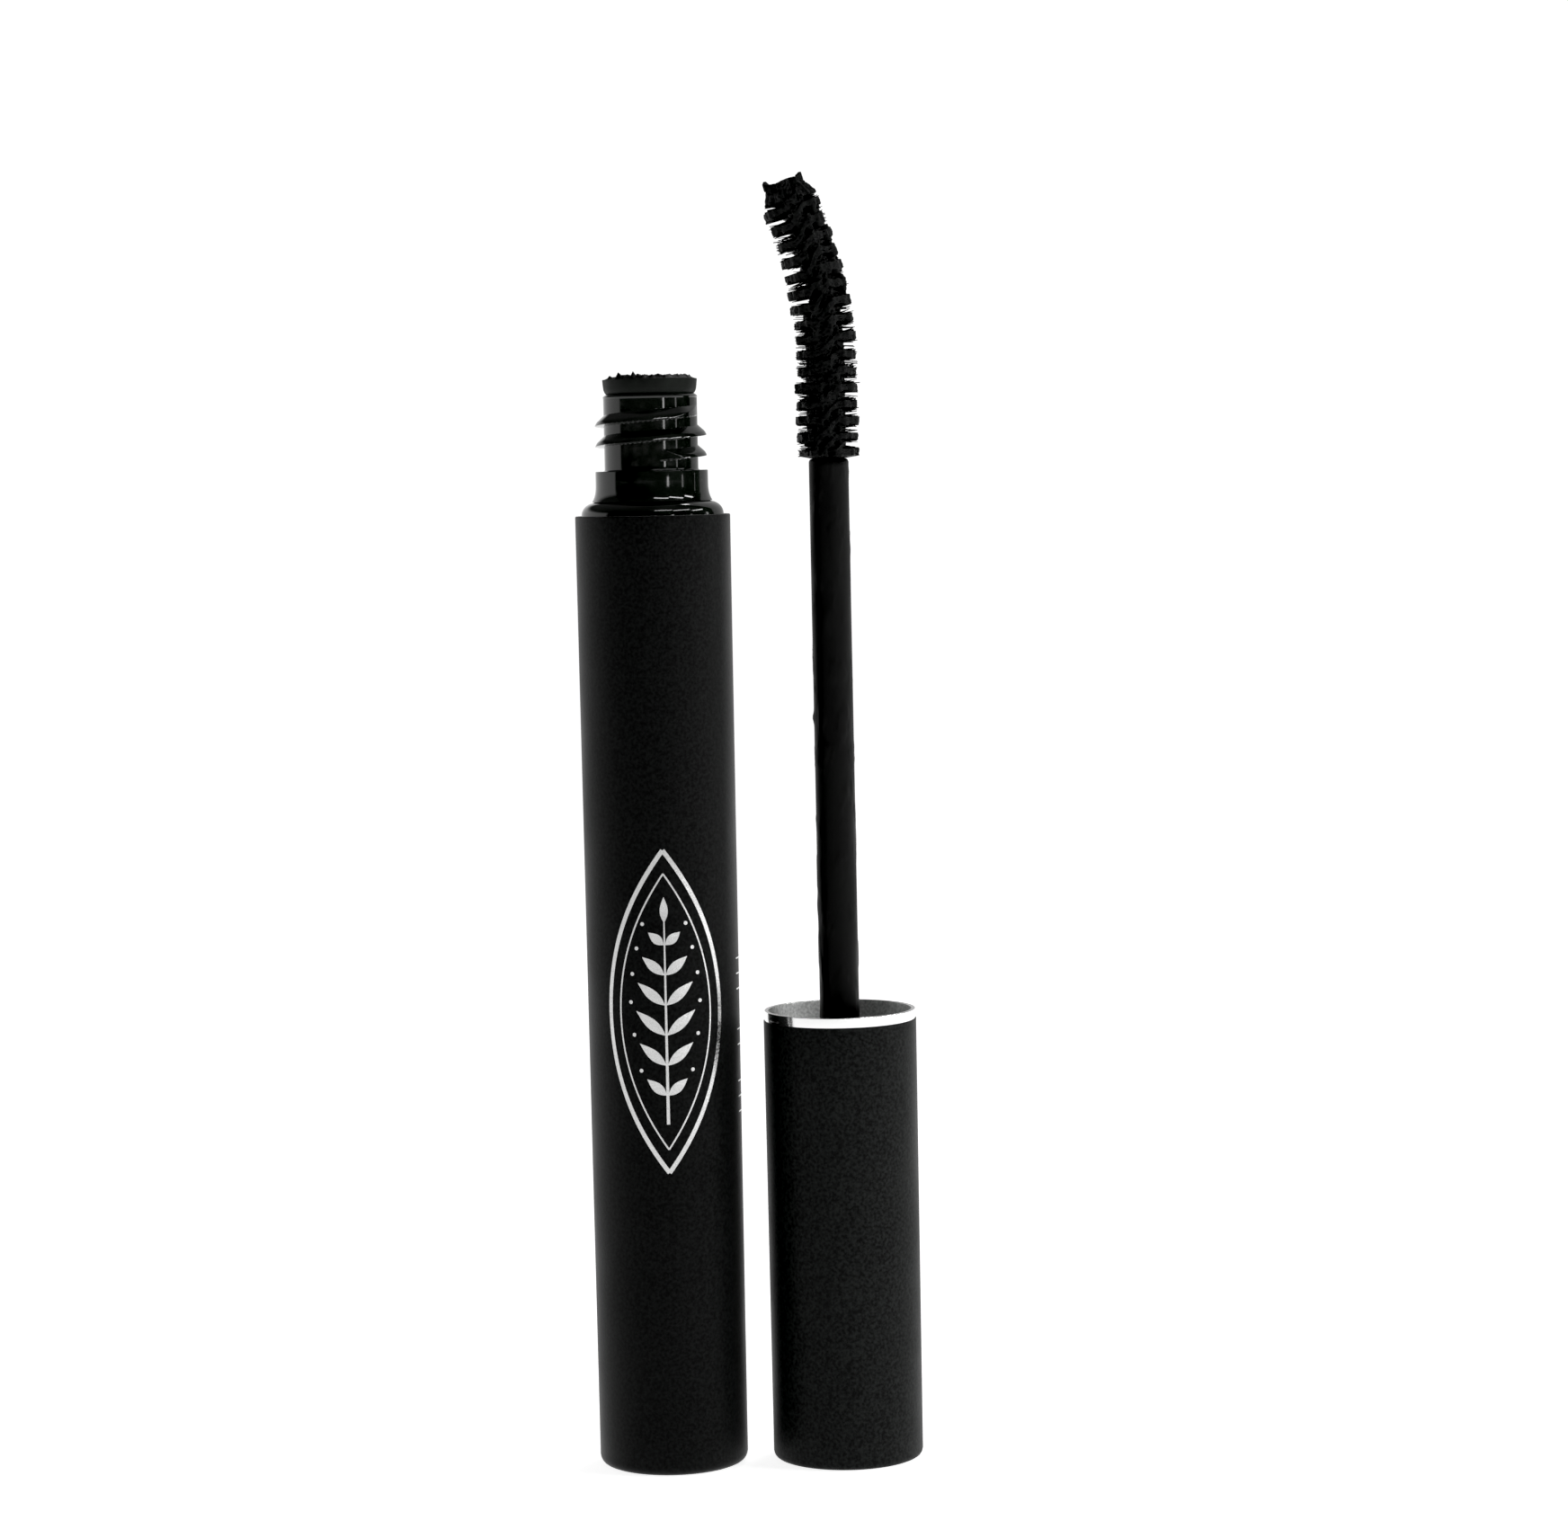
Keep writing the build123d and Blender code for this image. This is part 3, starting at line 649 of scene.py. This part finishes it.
def stem():
    """Round stem with thin dried smears, a bead in its socket and a soft shoulder at the tip."""
    rows = [(STEM_R, z) for z in np.arange(24.4, STEM_TOP - 0.5, 0.3)]
    outline = rounded([
        (0, STEM_FOOT), (STEM_R, STEM_FOOT, 0.15), (STEM_R, 23.0), (STEM_R + 0.18, 23.6, 0.2),
        (STEM_R, 24.2), *rows, (STEM_R, STEM_TOP, 0.4),
        (WIRE_HOLE_R, STEM_TOP), (WIRE_HOLE_R, WIRE_HOLE_Z), (0, WIRE_HOLE_Z),
    ])
    points, faces = turned(outline, AXIS_X, 96)
    local = points - [AXIS_X, 0, 0]
    side = np.hypot(local[:, 0], local[:, 1])
    skin = (side > STEM_R - 0.05) & (points[:, 2] > 46) & (points[:, 2] < STEM_TOP - 0.3)
    film = 0.05 * smooth((lumps(local * [1, 1, 0.4], 1.7, 4) - 0.15) / 0.3)
    for deg, z, height, wide, tall in STEM_SMEARS:
        turn = math.radians(deg)
        away = np.hypot((local[:, 0] - STEM_R * math.cos(turn)) / wide,
                        (local[:, 1] - STEM_R * math.sin(turn)) / wide)
        film += height * np.exp(-(away ** 2 + ((points[:, 2] - z) / tall) ** 2) * 2)
    scale = 1 + skin * film / np.maximum(side, 0.1)
    points[:, 0] = AXIS_X + local[:, 0] * scale
    points[:, 1] *= scale
    piece("stem_rod", points, faces, stem_black, "applicator", ["stem"], crease=40)


def brush_frame(s):
    """Centre and side vectors of the brush at distances s from the stem's tip."""
    s = np.asarray(s, float)
    lean = np.clip((s - BRUSH_STRAIGHT) / BRUSH_BEND_R, 0, BRUSH_LEAN)
    x = AXIS_X - BRUSH_BEND_R * (1 - np.cos(lean))
    z = STEM_TOP + np.minimum(s, BRUSH_STRAIGHT) + BRUSH_BEND_R * np.sin(lean)
    rest = np.clip(s - BRUSH_STRAIGHT - BRUSH_BEND_R * BRUSH_LEAN, 0, None)
    x, z = x - rest * np.sin(lean), z + rest * np.cos(lean)
    zero = np.zeros_like(s)
    return np.stack([x, zero, z], -1), np.stack([np.cos(lean), zero, np.sin(lean)], -1)


def brush_points(turn, radius, s):
    centre, side = brush_frame(s)
    out = centre + (radius * np.cos(turn))[..., None] * side
    out[..., 1] += radius * np.sin(turn)
    return out


def tip_radius(s, turn):
    """Radius that the bristle tips reach: wider low down, pulled in at the end."""
    reach = 3.07 - 0.24 * smooth((s - 12) / 12)
    end = smooth((s - 26.2) / 3.2)
    right = (1 + np.cos(turn)) / 2
    return reach - end * (0.95 + 0.35 * right)


def row_phase(s, turn):
    """A whole number in a bristle row's middle. Rows are level at the sides, and climb between."""
    half_turns = np.asarray(turn) / math.pi
    part = half_turns - np.floor(half_turns)
    left = smooth(0.5 - np.cos(turn))
    stretch = 0.28 * np.clip((s - 9 - 7 * left) / 9, 0, 1)
    climb = np.floor(half_turns) + smooth((part - 0.37) / 0.26)
    return (s - stretch - FIRST_ROW) / ROW_SPACING - climb


def brush_body():
    """Bristle rows clotted with mascara: a two-start screw of square teeth with uneven gaps."""
    steps, rows = 200, 415
    turn = angles(steps)
    s_grid, turn_grid = np.meshgrid(np.linspace(BODY_START, BODY_END, rows), turn, indexing="ij")

    def clots(radius, height, shift, size, octaves):
        at = np.stack([np.cos(turn_grid) * radius, np.sin(turn_grid) * radius, height], -1)
        return lumps(at.reshape(-1, 3) + shift, size, octaves).reshape(s_grid.shape)

    wide = clots(3, s_grid, 0, 2.4, 2)
    mid = clots(3, s_grid, 40, 0.9, 3)
    small = clots(3, s_grid, 90, 0.3, 2)
    phase = row_phase(s_grid, turn_grid) + 0.11 * wide + 0.06 * mid
    row = np.round(phase)
    per_tooth = clots(2.2, row * 3.7, 0, 0.9, 2)

    # Where on the brush: its left side, its front and back, and the part above the bend
    left = smooth((0.1 - np.cos(turn_grid)) / 0.3)
    facing = smooth((np.abs(np.sin(turn_grid)) - 0.76) / 0.18)
    high = smooth((s_grid - 14.5) / 2.5) * smooth((27.0 - s_grid) / 0.6)

    # The gaps' floor rises from the root to the tips where mascara clogs them
    tooth = smooth((0.275 + 0.06 * mid + 0.06 * per_tooth - np.abs(phase - row)) / 0.05)
    reach = tip_radius(s_grid, turn_grid) + 0.42 * per_tooth + 0.08 * mid + 0.06 * small
    root = 1.8 + 0.3 * left * (1 - high) + high * (1 - left) * 0.3 - high * left * 0.85
    clog = facing * (0.86 + 0.16 * mid)
    clog = np.maximum(clog, (1 - left) * high * smooth((per_tooth + 0.1) / 0.3) * 0.85)
    clog = np.maximum(clog, smooth((wide - 0.6) / 0.2) * 0.8 * (1 - high * left))
    clog = np.maximum(clog, smooth((s_grid - 26.75) / 0.2))
    floor = root + clog * (reach - 0.05 - root) + (0.12 + 0.2 * facing) * mid + 0.06 * small
    radius = floor + tooth * np.maximum(reach - floor, 0)
    foot = smooth(s_grid / 0.25)
    radius = radius * foot + (1.95 + 0.05 * mid) * (1 - foot)

    # The end is a shallow dish with horns of dried mascara on its edge
    horn = sum(height * np.exp(-(np.angle(np.exp(1j * (turn - at))) / width) ** 2)
               for at, width, height in TIP_HORNS)
    end_rings = []
    for t in (0.99, 0.97, 0.93, 0.86, 0.76, 0.64, 0.5, 0.34, 0.18, 0.0):
        lift = 0.28 * smooth((1 - t) / 0.08) * smooth((t - 0.45) / 0.5)
        lift = lift + horn * np.clip((t - 0.72) / 0.27, 0, 1) ** 1.6
        s_ring = BODY_END + 0.03 + lift + 0.05 * np.cos(5 * turn + t * 9) * (t > 0)
        end_rings.append(brush_points(turn, radius[-1] * t, s_ring))
    foot_rings = [brush_points(turn, np.full(steps, r), np.zeros(steps)) for r in (0.0, 1.2, 1.9)]
    grid = np.concatenate([foot_rings, brush_points(turn_grid, radius, s_grid), end_rings])
    faces = grid_faces(len(grid), steps)
    piece("bristle_rows", grid.reshape(-1, 3), faces, brush_coat, "applicator",
          ["bristles"], crease=60)


def fibres():
    """Single bristles, coated and tapered, that stand out of the clotted rows."""
    pick = random.Random(FIBRE_SEED)
    points, faces = [], []
    while len(points) < FIBRES * 9:
        s = pick.uniform(0.3, 28.2)
        turn = pick.uniform(0, 2 * math.pi)
        phase = float(row_phase(s, turn))
        strays = STRAY_SHARE * (0.35 if s > 14 and math.cos(turn) < 0 else 1)
        if abs(phase - round(phase)) > 0.3 and pick.random() > strays:
            continue
        end = float(tip_radius(np.array(s), np.array(turn))) + pick.uniform(-0.25, 0.14)
        if pick.random() < 0.05:
            end += pick.uniform(0.05, 0.22)
        twist, drop = pick.gauss(0, 0.05), pick.gauss(0, 0.16)
        thick = pick.uniform(0.045, 0.085)
        start = len(points)
        for r, share, width in ((1.0, 0.0, 1.0), (end * 0.75, 0.6, 0.85), (end, 1.0, 0.6)):
            for k in range(3):
                bend = 2 * math.pi * k / 3
                t = turn + twist * share + thick * width * math.cos(bend) / max(r, 0.5)
                along = s + drop * share + thick * width * math.sin(bend)
                points.append(brush_points(np.array(t), np.array(r), np.array(along)))
        for ring in (0, 3):
            for k in range(3):
                a, b = start + ring + k, start + ring + (k + 1) % 3
                faces.append([a, b, b + 3, a + 3])
        faces.append([start + 6, start + 7, start + 8])
    piece("bristle_fibres", np.array(points), faces, brush_coat, "applicator",
          weld=False)


def wire():
    """Two steel strands twisted together along the brush, and down into the stem."""
    points, faces = [], []
    s = np.linspace(WIRE_START, WIRE_END, 460)
    centre, side = brush_frame(np.clip(s, 0, None))
    centre[:, 2] += np.minimum(s, 0)
    across = np.array([0, 1, 0])
    ring = angles(10)
    last = (len(s) - 1) * len(ring)
    for strand in (0, 1):
        turn = 2 * math.pi * s / (2 * ROW_SPACING) + math.pi * strand
        hub = centre + STRAND_R * (np.cos(turn)[:, None] * side + np.sin(turn)[:, None] * across)
        loops = (hub[:, None, :] + STRAND_R * (np.cos(ring)[None, :, None] * side[:, None, :]
                                               + np.sin(ring)[None, :, None] * across))
        start = len(points)
        points += loops.reshape(-1, 3).tolist()
        faces += grid_faces(len(s), len(ring), offset=start)
        faces.append([start + k for k in reversed(range(len(ring)))])
        faces.append([start + last + k for k in range(len(ring))])
    piece("twisted_wire", np.array(points), faces, steel, "applicator",
          ["core_wire"], weld=False)


stem()
brush_body()
fibres()
wire()


# ---------------------------------------------------------------- CAD nodes that stay

for node, look in (("inner_cap", liner), ("mascara_fill", mascara)):
    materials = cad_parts[node].data.materials
    materials.clear()
    materials.append(look)


# ---------------------------------------------------------------- studio

def floor():
    reach = FLOOR_REACH
    mesh = bpy.data.meshes.new("floor")
    corners = (-reach, -reach, 0), (reach, -reach, 0), (reach, reach, 0), (-reach, reach, 0)
    mesh.from_pydata(corners, [], [(0, 1, 2, 3)])
    obj = bpy.data.objects.new("floor", mesh)
    obj.location.z = -FLOOR_DROP
    scene.collection.objects.link(obj)
    look, tree, shader = new_look("pale_floor", (0.86, 0.86, 0.86), 0.75, specular=0.1)
    shader.inputs["Emission Color"].default_value = (1, 1, 1, 1)
    shader.inputs["Emission Strength"].default_value = FLOOR_GLOW
    paint(tree, shader, grain(tree, 40.0, 2.0), 0.3, 0.7, (0.85, 0.85, 0.85), (0.87, 0.87, 0.87))
    mesh.materials.append(look)


def studio_world():
    """White to the camera. As light: bright from the left to behind, half as bright behind on the
    right, and nearly dark in front and above."""
    world = bpy.data.worlds.new("studio")
    scene.world = world
    world.use_nodes = True
    tree = world.node_tree
    tree.nodes.clear()
    link = tree.links.new

    def math_node(kind, a, b):
        node = tree.nodes.new("ShaderNodeMath")
        node.operation = kind
        for socket, value in zip(node.inputs, (a, b)):
            if isinstance(value, (int, float)):
                socket.default_value = value
            else:
                link(value, socket)
        return node.outputs[0]

    def background(strength):
        node = tree.nodes.new("ShaderNodeBackground")
        node.inputs["Color"].default_value = (1, 1, 1, 1)
        node.inputs["Strength"].default_value = strength
        return node

    place = tree.nodes.new("ShaderNodeTexCoord")
    split = tree.nodes.new("ShaderNodeSeparateXYZ")
    link(place.outputs["Generated"], split.inputs[0])
    x, y, z = split.outputs
    bearing = math_node("ARCTAN2", x, math_node("MULTIPLY", y, -1.0))  # 0 in front, + to the right
    left = spread(tree, bearing, math.radians(-84), math.radians(-80), 1.0, 0.0)
    right = spread(tree, bearing, math.radians(112), math.radians(116), 0.0, 1.0)
    left = math_node("MULTIPLY", left, spread(tree, z, 0.28, 0.42, 0.95, 0.04))
    right = math_node("MULTIPLY", right, spread(tree, z, 0.7, 0.85, 0.48, 0.1))
    above = spread(tree, z, 0.5, 0.95, 0.0, 0.08)
    least = 0.02
    level = math_node("ADD", math_node("ADD", left, right), math_node("ADD", above, least))
    lit, seen = background(1.0), background(1.05)
    link(level, lit.inputs["Strength"])
    path = tree.nodes.new("ShaderNodeLightPath")
    mix = tree.nodes.new("ShaderNodeMixShader")
    link(path.outputs["Is Camera Ray"], mix.inputs[0])
    link(lit.outputs[0], mix.inputs[1])
    link(seen.outputs[0], mix.inputs[2])
    out = tree.nodes.new("ShaderNodeOutputWorld")
    link(mix.outputs[0], out.inputs["Surface"])


def panel(name, bearing, height, wide, tall, watts, distance=LAMP_DISTANCE, aim=LAMP_AIM,
          lights=True, shines=True):
    """Rectangular lamp, in metres and watts, at a bearing in degrees from the front to the right.

    Without lights it only shows in gloss, and without shines it is left out of gloss.
    """
    light = bpy.data.lights.new(name, "AREA")
    light.shape = "RECTANGLE"
    light.size, light.size_y = wide, tall
    light.energy = watts
    obj = bpy.data.objects.new(name, light)
    turn = math.radians(bearing)
    obj.location = (aim[0] + distance * math.sin(turn), aim[1] - distance * math.cos(turn), height)
    obj.rotation_mode = "QUATERNION"
    obj.rotation_quaternion = (obj.location - Vector(aim)).to_track_quat("Z", "Y")
    obj.visible_camera = False
    obj.visible_diffuse = lights
    obj.visible_glossy = shines
    scene.collection.objects.link(obj)


def lamps():
    """A key from the right, panes and strips that only show in gloss, and two lamps behind."""
    panel("key", bearing=72, height=0.20, wide=0.30, tall=0.35, watts=5.0, shines=False)
    panel("pane_a", bearing=31, height=0.115, wide=0.055, tall=0.10, watts=0.13, lights=False)
    panel("pane_b", bearing=41, height=0.05, wide=0.035, tall=0.06, watts=0.05, lights=False)
    panel("pane_c", bearing=64, height=0.12, wide=0.045, tall=0.12, watts=0.045, lights=False)
    panel("sill", bearing=100, height=0.15, wide=0.10, tall=0.25, watts=0.25)
    for number, (bearing, height) in enumerate(((20, 0.705), (55, 0.60), (90, 0.455))):
        panel(f"strip_{number}", bearing, height, wide=0.37, tall=0.05, watts=1.0,
              distance=0.60, aim=STRIP_AIM, lights=False)
    panel("window_top", bearing=150, height=0.85, wide=0.14, tall=0.10, watts=0.9, distance=0.5)


def camera():
    """The photograph's camera, as fitted to the silhouette of both tubes."""
    data = bpy.data.cameras.new("camera")
    data.lens, data.sensor_width = LENS, SENSOR
    data.clip_start, data.clip_end = 0.01, 50.0
    obj = bpy.data.objects.new("camera", data)
    yaw, pitch, roll = (math.radians(v) for v in CAMERA_DEG)
    forward = Vector((math.sin(yaw) * math.cos(pitch), math.cos(yaw) * math.cos(pitch),
                      -math.sin(pitch)))
    right = Vector((math.cos(yaw), -math.sin(yaw), 0))
    down = forward.cross(right)
    right_rolled = math.cos(roll) * right + math.sin(roll) * down
    down_rolled = -math.sin(roll) * right + math.cos(roll) * down
    turn = Matrix((right_rolled, -down_rolled, -forward)).transposed().to_4x4()
    turn.translation = Vector(CAMERA_MM) * MM
    obj.matrix_world = turn
    scene.collection.objects.link(obj)
    scene.camera = obj


floor()
studio_world()
lamps()
camera()
scene.view_settings.view_transform = "Standard"
scene.view_settings.use_curve_mapping = True
scene.view_settings.curve_mapping.black_level = (BLACK_LEVEL, BLACK_LEVEL, BLACK_LEVEL)
scene.view_settings.curve_mapping.update()
